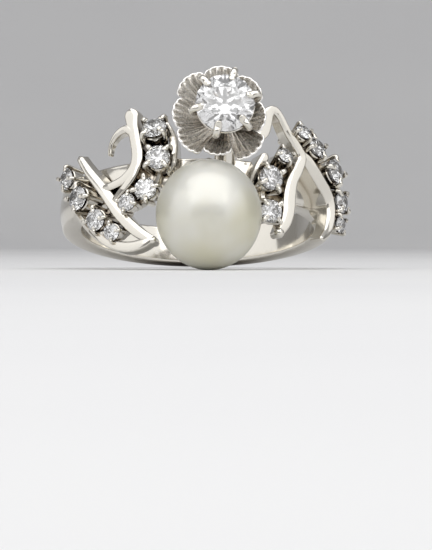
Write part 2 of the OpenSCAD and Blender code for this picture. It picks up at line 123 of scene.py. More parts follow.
@dataclass(frozen=True)
class RingSizes:
    """The ring's driving sizes in millimetres and degrees."""

    bore_d: float = 17.0
    band_t: float = 1.6
    band_w: float = 2.7
    band_dome: float = 4.0
    strap_rise: float = 1.25
    strap_w: float = 0.75
    strap_undercut: float = 0.65
    crown_half: float = 6.0
    sink: float = 0.25
    side_d: float = 1.9
    side_lift: float = 1.5
    pearl_w: float = 7.5
    pearl_h: float = 7.9
    pearl_lift: float = 3.3
    pearl_across: float = 0.8
    pearl_along: float = 3.85
    cup_lean: float = 41.0
    centre_d: float = 4.25
    centre_lift: float = 4.7
    centre_across: float = 1.95
    centre_along: float = 3.95
    flower_drop: float = 1.4
    flower_h: float = 2.4
    stone_gap: float = 0.04
    point_gap: float = 0.12
    girdle_share: float = 0.03
    crown_share: float = 0.16
    table_share: float = 0.56
    pavilion_share: float = 0.43

    @property
    def bore_r(self) -> float:
        """Radius of the finger hole."""
        return self.bore_d / 2

    @property
    def band_r(self) -> float:
        """Radius of the outside of the band."""
        return self.bore_r + self.band_t

    @property
    def strap_foot(self) -> float:
        """Distance from the finger's axis to the foot of a strap."""
        return self.band_r - self.sink * self.band_t

    @property
    def strap_top(self) -> float:
        """Distance from the finger's axis to the top of a strap."""
        return self.band_r + self.strap_rise

    @property
    def side_out(self) -> float:
        """Distance from the finger's axis to the side diamonds' girdles."""
        return self.band_r + self.side_lift

    @property
    def gallery_top(self) -> float:
        """Distance from the finger's axis to the top of a gallery bar."""
        depth = (self.pavilion_share + self.girdle_share / 2) * self.side_d
        return self.side_out - depth - self.point_gap

    @property
    def centre_out(self) -> float:
        """Distance from the finger's axis to the centre diamond's girdle."""
        return self.band_r + self.centre_lift

    @property
    def flower_foot(self) -> float:
        """Distance from the finger's axis to the foot of the flower."""
        return self.centre_out - self.flower_drop - self.flower_h

    @property
    def pearl_out(self) -> float:
        """Distance from the finger's axis to the centre of the pearl."""
        return self.band_r + self.pearl_lift

    @property
    def crown_slope(self) -> float:
        """Steepest rise of a diamond's crown from its girdle."""
        star = (1 + self.table_share) / 2
        cone = 2 * self.crown_share / (1 - self.table_share)
        return cone * (1 - star * cos(pi / 8)) / (1 - star)

    @property
    def rest_lean(self) -> float:
        """Lean in degrees at which pearl and band rest on one level surface."""
        reach = self.pearl_out + self.band_r
        side = self.pearl_along - self.band_w / 2
        start = atan2(side, reach)
        lean = asin(self.pearl_h / 2 / hypot(reach, side)) + start
        low = hypot(self.pearl_w / 2 * sin(lean), self.pearl_h / 2 * cos(lean))
        return degrees(asin(low / hypot(reach, side)) + start)


@dataclass(frozen=True)
class RingPlaces:
    """Works out where things sit on the leaning ring."""

    sizes: RingSizes

    def at_rest(self) -> Matrix:
        """Returns the lean of the whole ring."""
        return turned(-self.sizes.rest_lean, "X")

    def on_ring(self, turn: float, along: float, out: float) -> Matrix:
        """Returns the place of a part whose Z points out from the finger.

        Args:
            turn: Angle round the finger in degrees.
            along: Distance along the finger.
            out: Distance from the finger's axis.

        Returns:
            The matrix that puts the part there.
        """
        return self.at_rest() @ turned(turn, "Z") @ moved(0, -out, along) @ turned(90, "X")

    def at_centre(self, out: float) -> Matrix:
        """Returns the place on the centre diamond's axis at a distance from the finger's axis."""
        s = self.sizes
        return self.at_rest() @ moved(s.centre_across, -out, s.centre_along) @ turned(90, "X")

    def at_pearl(self, oval: bool) -> Matrix:
        """Returns the place of the pearl's centre, with Z pointing back at its cup.

        Args:
            oval: True for a part that is stretched along the finger as the pearl is.

        Returns:
            The matrix that puts the part there.
        """
        s = self.sizes
        stretch = Matrix.Diagonal((1, 1, s.pearl_h / s.pearl_w if oval else 1, 1))
        place = moved(s.pearl_across, -s.pearl_out, -s.pearl_along)
        return self.at_rest() @ place @ stretch @ turned(s.cup_lean - 90, "X")


@dataclass
class Skin:
    """Points and faces of one piece, in millimetres."""

    points: list[Vector] = field(default_factory=list)
    faces: list[tuple[int, ...]] = field(default_factory=list)

    def loft(self, rings: Sequence[Sequence[Vector]], capped: bool = True) -> "Skin":
        """Adds a closed shell through rings of points.

        Args:
            rings: The rings in order, each with the same number of points.
            capped: True closes both ends, False joins the last ring to the first.

        Returns:
            This skin.
        """
        start = len(self.points)
        count = len(rings[0])
        for ring in rings:
            self.points.extend(ring)
        for j in range(len(rings) - 1 if capped else len(rings)):
            a = start + j * count
            b = start + (j + 1) % len(rings) * count
            for k in range(count):
                n = (k + 1) % count
                self.faces.append((a + k, a + n, b + n, b + k))
        if capped:
            last = start + (len(rings) - 1) * count
            self.faces.append(tuple(range(start + count - 1, start - 1, -1)))
            self.faces.append(tuple(range(last, last + count)))
        return self

    def put(self, matrix: Matrix) -> "Skin":
        """Returns this skin moved by a matrix."""
        return Skin([matrix @ p for p in self.points], list(self.faces))

    def join(self, other: "Skin") -> "Skin":
        """Adds another skin to this one.

        Args:
            other: The other skin.

        Returns:
            This skin.
        """
        start = len(self.points)
        self.points.extend(other.points)
        self.faces.extend(tuple(start + i for i in f) for f in other.faces)
        return self


def lathe(profile: Sequence[tuple[float, float]], steps: int, closed: bool) -> Skin:
    """Turns a profile about Z.

    Args:
        profile: Distance from the axis and height of each point.
        steps: Number of columns round the axis.
        closed: True where the profile is a closed loop, False where it runs from pole to pole.

    Returns:
        The turned skin.
    """
    angles = round_angles(steps)
    return Skin().loft([[polar(r, a, z) for a in angles] for r, z in profile], capped=not closed)


def smooth_rows(rows: Rows, steps: int) -> list[list[float]]:
    """Returns rows on a smooth curve through the rows of a table.

    Args:
        rows: The table's rows.
        steps: Number of rows made for each stretch between two of them.

    Returns:
        The finer table.
    """
    padded = [rows[0], *rows, rows[-1]]
    fine = []
    for four in zip(padded, padded[1:], padded[2:], padded[3:]):
        for k in range(steps):
            t = k / steps
            fine.append([
                0.5 * (2 * b + (c - a) * t + (2 * a - 5 * b + 4 * c - d) * t ** 2
                       + (3 * b - a - 3 * c + d) * t ** 3)
                for a, b, c, d in zip(*four)
            ])
    fine.append(list(rows[-1]))
    return fine


def linear(code: str) -> tuple[float, float, float, float]:
    """Returns a colour's linear values.

    Args:
        code: The colour as an sRGB hex code.

    Returns:
        Red, green, blue and an opacity of 1.
    """

    def channel(i: int) -> float:
        """Returns one channel as a linear value."""
        v = int(code[i:i + 2], 16) / 255
        return v / 12.92 if v <= 0.04045 else ((v + 0.055) / 1.055) ** 2.4

    return channel(1), channel(3), channel(5), 1.0


def add(
    tree: NodeTree,
    kind: str,
    settings: dict | None = None,
    links: dict | None = None,
) -> Node:
    """Adds a node with its settings and links.

    Args:
        tree: The node tree.
        kind: The node's type.
        settings: Values of its properties or, by name or number, of its inputs.
        links: For an input's name or number, the output that feeds it.

    Returns:
        The new node.
    """
    node = tree.nodes.new(kind)
    for key, value in (settings or {}).items():
        if isinstance(key, str) and key in node.bl_rna.properties:
            setattr(node, key, value)
        else:
            node.inputs[key].default_value = value
    for key, socket in (links or {}).items():
        tree.links.new(socket, node.inputs[key])
    return node


def per_mm(size: float) -> float:
    """Returns the texture scale that gives a pattern of a size in millimetres."""
    return 1 / (size * MM)


def noise(tree: NodeTree, size: float, detail: float) -> NodeSocket:
    """Returns a soft noise.

    Args:
        tree: The material's nodes.
        size: Size of its spots in millimetres.
        detail: Number of finer layers.

    Returns:
        The noise's socket.
    """
    place = add(tree, "ShaderNodeTexCoord").outputs["Object"]
    settings = {"Scale": per_mm(size), "Detail": detail}
    return add(tree, "ShaderNodeTexNoise", settings, {"Vector": place}).outputs["Fac"]


def ramp(tree: NodeTree, fac: NodeSocket, stops: Sequence[tuple[float, str]]) -> NodeSocket:
    """Returns a colour picked by a value.

    Args:
        tree: The nodes.
        fac: The value from 0 to 1.
        stops: Places and their sRGB hex colours.

    Returns:
        The colour's socket.
    """
    node = add(tree, "ShaderNodeValToRGB", {}, {"Fac": fac})
    band = node.color_ramp.elements
    while len(band) < len(stops):
        band.new(0.5)
    for element, (place, code) in zip(band, stops):
        element.position = place
        element.color = linear(code)
    return node.outputs["Color"]


def span(tree: NodeTree, value: NodeSocket, reach: tuple[float, float]) -> NodeSocket:
    """Returns a noise value mapped to a range from low to high."""
    settings = {"From Min": 0.3, "From Max": 0.7, "To Min": reach[0], "To Max": reach[1]}
    return add(tree, "ShaderNodeMapRange", settings, {"Value": value}).outputs["Result"]


@dataclass(frozen=True)
class Finish:
    """A finish: one procedural material."""

    name: str

    def material(self) -> Material:
        """Returns the material, made once."""
        found = bpy.data.materials.get(self.name)
        if found:
            return found
        made = bpy.data.materials.new(self.name)
        made.use_nodes = True
        tree = made.node_tree
        tree.nodes.clear()
        shader = add(tree, "ShaderNodeBsdfPrincipled", *self.lay(tree))
        add(tree, "ShaderNodeOutputMaterial", {}, {"Surface": shader.outputs["BSDF"]})
        return made

    def lay(self, tree: NodeTree) -> tuple[dict, dict]:
        """Lays the nodes that feed the shader.

        Args:
            tree: The material's nodes.

        Returns:
            The shader's settings and its links.
        """
        raise NotImplementedError


@dataclass(frozen=True)
class PolishedWhiteGold(Finish):
    """White gold, cast, filed and polished, then flashed with rhodium.

    The polish is bright but drawn by hand, so its gloss varies a little. The colour is painted darker
    and browner where an occlusion mask finds recesses, creases and gaps between parts: painted shade
    with painted dark reflection.
    """

    # face is the metal's own colour; the recess and shade tones are painted shade, laid by the
    # occlusion mask.
    face: str = "#DFDBD2"
    painted_recess_shade: str = "#4A3727"
    shade: str = "#BDB4A6"
    polish: tuple[float, float] = (0.08, 0.16)
    painted_shade_reach: float = 0.7
    painted_shade_stops: tuple[float, float, float] = (0.12, 0.42, 0.72)
    spot: float = 0.8
    grain: float = 0.12
    grain_strength: float = 0.12
    grain_depth: float = 0.004

    def lay(self, tree: NodeTree) -> tuple[dict, dict]:
        """Lays the nodes that feed the shader.

        Args:
            tree: The material's nodes.

        Returns:
            The shader's settings and its links.
        """
        spots = noise(tree, self.spot, 3)
        fine = noise(tree, self.grain, 2)
        # Painted shade: ambient occlusion darkens and browns the base colour in recesses and between
        # parts.
        painted_shade_mask = add(tree, "ShaderNodeAmbientOcclusion", {
            "samples": 8, "Distance": self.painted_shade_reach * MM,
        }).outputs["AO"]
        tones = (self.painted_recess_shade, self.shade, self.face)
        bump = add(tree, "ShaderNodeBump", {
            "Strength": self.grain_strength, "Distance": self.grain_depth * MM,
        }, {"Height": fine})
        return {"Metallic": 1.0}, {
            "Base Color": ramp(tree, painted_shade_mask, tuple(zip(self.painted_shade_stops, tones))),
            "Roughness": span(tree, spots, self.polish),
            "Normal": bump.outputs["Normal"],
        }


@dataclass(frozen=True)
class PearlNacre(Finish):
    """White cultured pearl: nacre, grown in layers over a bead.

    The layers scatter light under a glassy skin, so the body is milky and the
    lights show soft in it and sharp on it, with a faint green-gold overtone.
    """

    body: str = "#D8D7D0"
    cream: str = "#CBC8B4"
    overtone: str = "#C6BD86"
    cloud: float = 5.0
    cloud_stops: tuple[float, float] = (0.35, 0.62)
    ripple: float = 0.6
    satin: tuple[float, float] = (0.36, 0.42)

    def lay(self, tree: NodeTree) -> tuple[dict, dict]:
        """Lays the nodes that feed the shader.

        Args:
            tree: The material's nodes.

        Returns:
            The shader's settings and its links.
        """
        tones = tuple(zip(self.cloud_stops, (self.cream, self.body)))
        return {
            "Metallic": 0.35,
            "Subsurface Weight": 0.2,
            "Subsurface Radius": (1.0, 0.85, 0.6),
            "Subsurface Scale": 0.5 * MM,
            "Coat Weight": 0.9,
            "Coat Roughness": 0.17,
            "Coat IOR": 1.6,
            "Specular Tint": linear(self.overtone),
        }, {
            "Base Color": ramp(tree, noise(tree, self.cloud, 2), tones),
            "Roughness": span(tree, noise(tree, self.ripple, 3), self.satin),
        }


@dataclass(frozen=True)
class CutDiamond(Finish):
    """Round brilliant diamonds, cut and polished: clear and bright.

    A high index turns the light back up through the crown, so the facets show
    white, grey and a few nearly black.
    """

    tint: str = "#FFFFFF"
    index: float = 2.417
    clear: float = 0.96
    smear: float = 0.5
    haze: tuple[float, float] = (0.0, 0.015)

    def lay(self, tree: NodeTree) -> tuple[dict, dict]:
        """Returns the shader's settings and its links."""
        haze = span(tree, noise(tree, self.smear, 1), self.haze)
        return {
            "Base Color": linear(self.tint), "IOR": self.index, "Transmission Weight": self.clear,
        }, {"Roughness": haze}


@dataclass(frozen=True)
class PaleSweep(Finish):
    """Matt painted board, swept up into a backdrop: pale and even."""

    pale: str = "#E4E4E4"
    shade: str = "#DFDFE0"
    cloud: float = 90.0

    def lay(self, tree: NodeTree) -> tuple[dict, dict]:
        """Returns the shader's settings and its links."""
        tone = ramp(tree, noise(tree, self.cloud, 2), ((0.3, self.shade), (0.7, self.pale)))
        return {"Roughness": 0.6}, {"Base Color": tone}


WHITE_GOLD = PolishedWhiteGold("polished white gold")
# The petals are scored and left satin, so each pleat shows as a soft pale stroke. This copy's paler
# face colour is painted light that lightens the petals, and its painted shade browns only the most
# hidden parts of the pleats and cup.
SATIN_GOLD_PAINTED_LIGHTER = PolishedWhiteGold(
    "satin white gold", face="#FAF8F5", painted_recess_shade="#5E4632", shade="#DCD5CA", polish=(0.2, 0.3),
    painted_shade_reach=0.9, painted_shade_stops=(0.1, 0.26, 0.42),
)
NACRE = PearlNacre("white pearl nacre")
DIAMOND = CutDiamond("round brilliant diamond")
SWEEP = PaleSweep("pale matt board")


def new_object(name: str, data: bpy.types.ID) -> Object:
    """Makes an object in the scene.

    Args:
        name: The object's name.
        data: The mesh, light or camera that it holds.

    Returns:
        The new object.
    """
    made = bpy.data.objects.new(name, data)
    bpy.context.scene.collection.objects.link(made)
    return made


def make_object(name: str, skin: Skin, finish: Finish, sharp: float = 40.0) -> Object:
    """Makes a closed, outward-facing mesh object at the origin.

    Args:
        name: The object's name.
        skin: Its points and faces in millimetres, already in place.
        finish: Its finish.
        sharp: Angle in degrees above which an edge stays crisp.

    Returns:
        The new object, linked to the scene.
    """
    mesh = bpy.data.meshes.new(name)
    mesh.from_pydata([p * MM for p in skin.points], [], skin.faces)
    shape = bmesh.new()
    shape.from_mesh(mesh)
    bmesh.ops.remove_doubles(shape, verts=shape.verts, dist=MM * 1e-4)
    bmesh.ops.recalc_face_normals(shape, faces=shape.faces)
    shape.to_mesh(mesh)
    shape.free()
    mesh.shade_smooth()
    mesh.set_sharp_from_angle(angle=radians(sharp))
    mesh.materials.append(finish.material())
    return new_object(name, mesh)


def fasten(
    piece: Object, slot: Slot = Slot.WHITE_GOLD, nodes: Sequence[str] = ("mounting",)
) -> Object:
    """Ties a finished piece to the frame and reports it.

    Args:
        piece: The finished mesh object.
        slot: The material slot, named only in the log line.
        nodes: The CAD nodes that it stands for.

    Returns:
        The same piece.
    """
    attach(piece, "root")
    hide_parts(*nodes)
    LOG.info("%s: %d faces in %s", piece.name, len(piece.data.polygons), slot.value)
    return piece


@dataclass(frozen=True)
class CopiesOnPoints:
    """Geometry Nodes that set one part on every point, as a goldsmith sets claws by hand."""

    name: str = "parts_on_points"

    def tree(self) -> NodeTree:
        """Returns the node tree, made once."""
        found = bpy.data.node_groups.get(self.name)
        if found:
            return found
        tree = bpy.data.node_groups.new(self.name, "GeometryNodeTree")
        kinds = {
            "Points": "Geometry",
            "Part": "Object",
            "Finish": "Material",
            "Wobble": "Float",
            "Seed": "Int",
        }
        for label, kind in kinds.items():
            tree.interface.new_socket(label, in_out="INPUT", socket_type="NodeSocket" + kind)
        tree.interface.new_socket("Points", in_out="OUTPUT", socket_type="NodeSocketGeometry")
        given = add(tree, "NodeGroupInput").outputs
        part = add(tree, "GeometryNodeObjectInfo", {}, {"Object": given["Part"]})
        read = "GeometryNodeInputNamedAttribute"
        turn = add(tree, read, {"data_type": "FLOAT_VECTOR", "Name": "turn"})
        size = add(tree, read, {"data_type": "FLOAT", "Name": "size"})
        less = add(tree, "ShaderNodeMath", {"operation": "MULTIPLY", 1: -1.0}, {0: given["Wobble"]})
        sway = add(tree, "FunctionNodeRandomValue", {"data_type": "FLOAT"}, {
            2: less.outputs[0], 3: given["Wobble"], "Seed": given["Seed"],
        })
        roll = add(tree, "ShaderNodeCombineXYZ", {}, {"Z": self.live(sway)})
        base = add(tree, "FunctionNodeEulerToRotation", {}, {"Euler": self.live(turn)})
        spin = add(tree, "FunctionNodeEulerToRotation", {}, {"Euler": roll.outputs[0]})
        both = add(tree, "FunctionNodeRotateRotation", {"rotation_space": "LOCAL"}, {
            "Rotation": base.outputs[0], "Rotate By": spin.outputs[0],
        })
        copies = add(tree, "GeometryNodeInstanceOnPoints", {}, {
            "Points": given["Points"],
            "Instance": part.outputs["Geometry"],
            "Rotation": both.outputs[0],
            "Scale": self.live(size),
        })
        whole = add(tree, "GeometryNodeRealizeInstances", {}, {"Geometry": copies.outputs["Instances"]})
        dressed = add(tree, "GeometryNodeSetMaterial", {}, {
            "Geometry": whole.outputs["Geometry"], "Material": given["Finish"],
        })
        add(tree, "NodeGroupOutput", {}, {"Points": dressed.outputs["Geometry"]})
        return tree

    @staticmethod
    def live(node: Node) -> NodeSocket:
        """Returns the first output that the node's type leaves in use."""
        return next(s for s in node.outputs if s.enabled)

    def run(
        self,
        name: str,
        part: Skin,
        places: Sequence[tuple[Matrix, float]],
        finish: Finish,
        wobble: float,
    ) -> Object:
        """Sets a part at each place and returns the copies as one plain mesh object.

        Args:
            name: The new object's name.
            part: The part, round its own origin.
            places: Where each copy goes, and its size against the part's own.
            finish: The copies' finish.
            wobble: Greatest turn of a copy about its own axis in degrees.

        Returns:
            The object that holds all copies.
        """
        template = make_object(name + "_part", part, finish)
        holder_mesh = bpy.data.meshes.new(name)
        holder_mesh.from_pydata([m.to_translation() * MM for m, _ in places], [], [])
        turn = holder_mesh.attributes.new("turn", "FLOAT_VECTOR", "POINT")
        turn.data.foreach_set("vector", [v for m, _ in places for v in m.to_euler()])
        size = holder_mesh.attributes.new("size", "FLOAT", "POINT")
        size.data.foreach_set("value", [s for _, s in places])
        holder = new_object(name, holder_mesh)
        modifier = holder.modifiers.new("copies", "NODES")
        modifier.node_group = self.tree()
        values = {
            "Part": template, "Finish": finish.material(), "Wobble": radians(wobble), "Seed": 7,
        }
        for item in modifier.node_group.interface.items_tree:
            if item.in_out == "INPUT" and item.name in values:
                modifier[item.identifier] = values[item.name]
        seen = holder.evaluated_get(bpy.context.evaluated_depsgraph_get())
        mesh = bpy.data.meshes.new_from_object(seen)
        holder.modifiers.remove(modifier)
        holder.data = mesh
        for label in ("turn", "size"):
            if label in mesh.attributes:
                mesh.attributes.remove(mesh.attributes[label])
        mesh.materials.clear()
        mesh.materials.append(finish.material())
        mesh.polygons.foreach_set("material_index", [0] * len(mesh.polygons))
        bpy.data.objects.remove(template)
        return holder


@dataclass(frozen=True)
class Claw:
    """One claw: a tapered wire that stands past the girdle and lies down over the crown."""

    sizes: RingSizes
    stone_d: float
    width: float
    depth: float
    foot_r: float
    reach: float
    sides: int = 12
    tip_steps: int = 5

    def height(self, out: float, thick: float) -> float:
        """Returns the height of the claw's middle where it lies on the crown.

        Args:
            out: Distance from the stone's axis.
            thick: Half the claw's thickness there.

        Returns:
            The height over the girdle's middle.
        """
        s = self.sizes
        r = self.stone_d / 2
        star = (1 - s.table_share) / 2 * r
        steep = min(r - out, star) * s.crown_slope
        flat = max(r - out - star, 0) * (2 * s.crown_share * r / star - s.crown_slope)
        lift = (thick + s.stone_gap) * hypot(1, s.crown_slope)
        return s.girdle_share * r + steep + flat + lift

    def skin(self) -> Skin:
        """Returns the claw with the stone's girdle at Z 0 and the claw on the +X side."""
        s = self.sizes
        w = self.width
        r = self.stone_d / 2
        girdle = s.girdle_share * r + s.stone_gap
        stand = r + s.stone_gap + w / 2
        bend = r - 0.4 * self.reach
        tip = r - self.reach
        # Columns: distance from the stone's axis, height, half width, half thickness.
        path = smooth_rows([
            [self.foot_r, -self.depth, 0.52 * w, 0.52 * w],
            [(self.foot_r + stand) / 2, -self.depth / 2, 0.48 * w, 0.48 * w],
            [stand, -girdle, 0.46 * w, 0.46 * w],
            [stand, girdle, 0.46 * w, 0.46 * w],
            [stand - 0.25 * w, girdle + 0.5 * w, 0.46 * w, 0.42 * w],
            [bend, self.height(bend, 0.28 * w), 0.5 * w, 0.28 * w],
            [tip, self.height(tip, 0.2 * w), 0.46 * w, 0.2 * w],
        ], 4)
        rings = [self.ring(path, i, 0) for i in range(len(path))]
        last = len(path) - 1
        rings += [self.ring(path, last, k / self.tip_steps) for k in range(1, self.tip_steps)]
        return Skin().loft(rings)

    def ring(self, path: Rows, i: int, end: float) -> list[Vector]:
        """Returns the claw's section across its path.

        Args:
            path: Rows of distance, height, half width and half thickness.
            i: The row.
            end: Share of the rounding past the last row, 0 for none.

        Returns:
            The section's points.
        """
        a = path[max(i - 1, 0)]
        b = path[min(i + 1, len(path) - 1)]
        step = Vector((b[0] - a[0], 0, b[1] - a[1])).normalized()
        across = Vector((step.z, 0, -step.x))
        out, height, half, thick = path[i]
        bend = pi / 2 * end
        middle = Vector((out, 0, height)) + step * half * sin(bend)
        side = Vector((0, 1, 0)) * half * cos(bend)
        across *= thick * cos(bend)
        return [middle + side * cos(a) + across * sin(a) for a in round_angles(self.sides)]


@dataclass(frozen=True)
class Collet:
    """The bored seat under a diamond's girdle, with softened edges."""

    sizes: RingSizes
    stone_d: float
    wall: float
    depth: float
    steps: int = 48
    taper: float = 0.12
    soften: float = 0.25

    def skin(self) -> Skin:
        """Returns the seat with the stone's girdle at Z 0."""
        s = self.sizes
        r = self.stone_d / 2
        drop = s.girdle_share * r + (self.wall + s.stone_gap) * 2 * s.pavilion_share
        taper = self.taper * r
        soft = self.soften * self.wall
        profile = [
            (r - self.wall, -drop - soft),
            (r - self.wall + soft, -drop),
            (r - soft, -drop),
            (r, -drop - soft),
            (r - taper, -self.depth + soft),
            (r - taper - soft, -self.depth),
            (r - self.wall - taper + soft, -self.depth),
            (r - self.wall - taper, -self.depth + soft),
        ]
        return lathe(profile, self.steps, closed=True)


@dataclass(frozen=True)
class Assembly:
    """One sub-assembly of the ring."""

    sizes: RingSizes
    places: RingPlaces

    def build(self) -> list[Object]:
        """Builds the pieces and ties them to the frame."""
        raise NotImplementedError


# Side diamonds: turn round the finger in degrees, place along the finger as a
# share of the crown's half length, diameter as a share of the largest, lean
# and first claw's angle in degrees.
SIDE_STONES = (
    (-54.7, 0.12, 0.78, 0, 80),
    (-48.2, -0.17, 0.94, 0, 85),
    (-39.3, -0.50, 0.84, -8, 90),
    (-32.1, -0.69, 0.66, -12, 90),
    (-15.6, 0.54, 0.98, 30, 50),
    (-14.2, 0.17, 0.96, 8, 40),
    (-18.7, -0.21, 0.88, 0, 5),
    (-26.0, -0.35, 0.70, 0, 75),
    (33.0, 0.27, 0.68, 25, 10),
    (27.1, -0.04, 0.96, 0, 30),
    (27.1, -0.46, 0.88, -8, 45),
    (41.4, 0.61, 0.70, 30, 13),
    (48.3, 0.465, 0.85, 22, 15),
    (59.6, 0.255, 0.98, 10, 88),
    (64.2, -0.09, 0.88, 0, 54),
    (63.2, -0.38, 0.68, -8, 38),
)


@dataclass(frozen=True)
class SideSettings(Assembly):
    """The collets and claws that hold the side diamonds."""

    claw_w: float = 0.4
    claw_reach: float = 0.17
    claw_depth: float = 1.75
    claw_foot: float = 0.45
    claw_wobble: float = 1.5
    seat_wall: float = 0.26
    seat_depth: float = 1.45

    def stone_place(self, row: Sequence[float]) -> Matrix:
        """Returns the place of one side diamond's girdle.

        Args:
            row: The diamond's row of the table.

        Returns:
            The matrix that puts the diamond's girdle there.
        """
        turn, along, _, lean, _ = row
        s = self.sizes
        return self.places.on_ring(turn, along * s.crown_half, s.side_out) @ turned(-lean, "X")

    def build(self) -> list[Object]:
        """Builds all collets and all claws and ties them to the frame."""
        s = self.sizes
        d = s.side_d
        seat = Collet(s, d, self.seat_wall, self.seat_depth).skin()
        foot = self.claw_foot * d
        claw = Claw(s, d, self.claw_w, self.claw_depth, foot, self.claw_reach).skin()
        seats = [(self.stone_place(row), row[2]) for row in SIDE_STONES]
        count = Grip.FOUR_CLAW.value
        claws = [
            (self.stone_place(row) @ turned(row[4] + 360 * k / count, "Z"), row[2])
            for row in SIDE_STONES
            for k in range(count)
        ]
        copies = CopiesOnPoints()
        return [
            fasten(copies.run("side_collets", seat, seats, WHITE_GOLD, 0)),
            fasten(copies.run("side_claws", claw, claws, WHITE_GOLD, self.claw_wobble)),
        ]


# Straps: turn round the finger in degrees, place along the finger as a share
# of the crown's half length, width as a share of a full strap's, roll of the
# top in degrees and open share of the strap's height under it. The last two
# are 0 where a row leaves them out.
STRAPS = {
    "left_rail": (
        (-48.2, 0.33, 0.75, -30, 0.6), (-44.2, 0.162, 0.95, -30, 0.55), (-39.8, -0.007, 1.05, -25, 0.3),
        (-35.7, -0.172, 1.15, -20), (-29.2, -0.48, 1.2, -8), (-22.8, -0.7, 1.15), (-16.6, -0.83, 0.8),
    ),
    "left_edge": (
        (-53, -0.22, 0.6), (-47, -0.46, 0.7), (-40, -0.67, 0.85), (-33, -0.82, 0.95),
        (-26.5, -0.885, 1.05), (-21, -0.87, 1), (-17, -0.815, 0.8),
    ),
    "left_hook": (
        (-33.9, 0.3, 0.4, 15, 0.75), (-33.3, 0.41, 0.5, 15, 0.7), (-31.4, 0.51, 0.6, 15, 0.6),
        (-28.8, 0.565, 0.75, 10, 0.5), (-26.5, 0.575, 0.85, 0, 0.4), (-24.2, 0.52, 0.9, 0, 0.4),
    ),
    "left_scroll": (
        (-24.9, 0.735, 1.45), (-24.6, 0.62, 1.2), (-23.4, 0.44, 1.15), (-22.5, 0.23, 1.2),
        (-23.8, 0.075, 1.15), (-28, -0.04, 0.9), (-32.2, -0.09, 0.85), (-36.2, -0.11, 0.7),
    ),
    "left_branch": (
        (-22.9, 0.14, 1.1), (-24.6, -0.02, 0.9), (-27.6, -0.14, 0.8), (-31.5, -0.27, 0.7),
    ),
    "left_post": (
        (-11.2, 0.58, 0.55), (-9.6, 0.47, 0.7), (-8.7, 0.34, 0.85), (-9, 0.12, 0.7), (-10.5, 0, 0.55),
    ),
    "right_arch": (
        (23.8, 0.42, 0.45), (24.4, 0.53, 1.45), (25.4, 0.66, 1.55), (27, 0.775, 1.2),
        (29.4, 0.82, 0.9, 8), (31.9, 0.745, 0.75, 20), (35.2, 0.57, 0.8, 22), (38.8, 0.44, 0.9, 22),
        (41.8, 0.31, 0.95, 15), (40, 0.15, 1.1, 12), (37.2, -0.01, 1.15, 12), (35.9, -0.18, 1.3, 12),
        (35.3, -0.39, 1.3, 12), (34, -0.545, 1.15, 8), (31.6, -0.68, 0.85),
    ),
    "right_rail": (
        (42.2, 0.33, 0.9, 15), (44.6, 0.275, 1.1, 25), (47.6, 0.18, 1.15, 32), (51.2, 0.075, 1.15, 35),
        (55.2, -0.03, 1.1, 35), (57.8, -0.14, 1.05, 35), (58.4, -0.255, 1, 35), (57.8, -0.38, 1, 32),
        (56, -0.51, 0.9, 28), (52.6, -0.62, 0.6, 20),
    ),
    "right_post": (
        (25.2, 0.22, 0.9), (22.8, 0.1, 0.8), (21.2, -0.01, 0.65), (20.2, -0.1, 0.5),
    ),
}
# Side diamonds that one gallery bar joins, in order.
GALLERIES = ((0, 1, 2, 3), (4, 5, 6, 7), (8, 9, 10), (11, 12, 13, 14, 15))
# Tie bars: both ends, as turn and place along the finger.
TIES = (
    ((-39.3, -0.50), (-35.0, -0.24)),
    ((-32.1, -0.69), (-26.6, -0.58)),
    ((-15.6, 0.54), (-23.4, 0.45)),
    ((-14.2, 0.17), (-22.4, 0.20)),
    ((-13.7, 0.175), (-9.5, 0.20)),
    ((33.0, 0.27), (41.5, 0.24)),
    ((27.1, -0.04), (36.0, -0.12)),
    ((26.6, -0.03), (22.0, 0.05)),
    ((27.1, -0.46), (34.2, -0.46)),
    ((41.4, 0.61), (36.6, 0.52)),
    ((48.3, 0.465), (46.0, 0.24)),
    ((59.6, 0.255), (54.6, 0.0)),
    ((63.2, -0.38), (57.2, -0.38)),
)


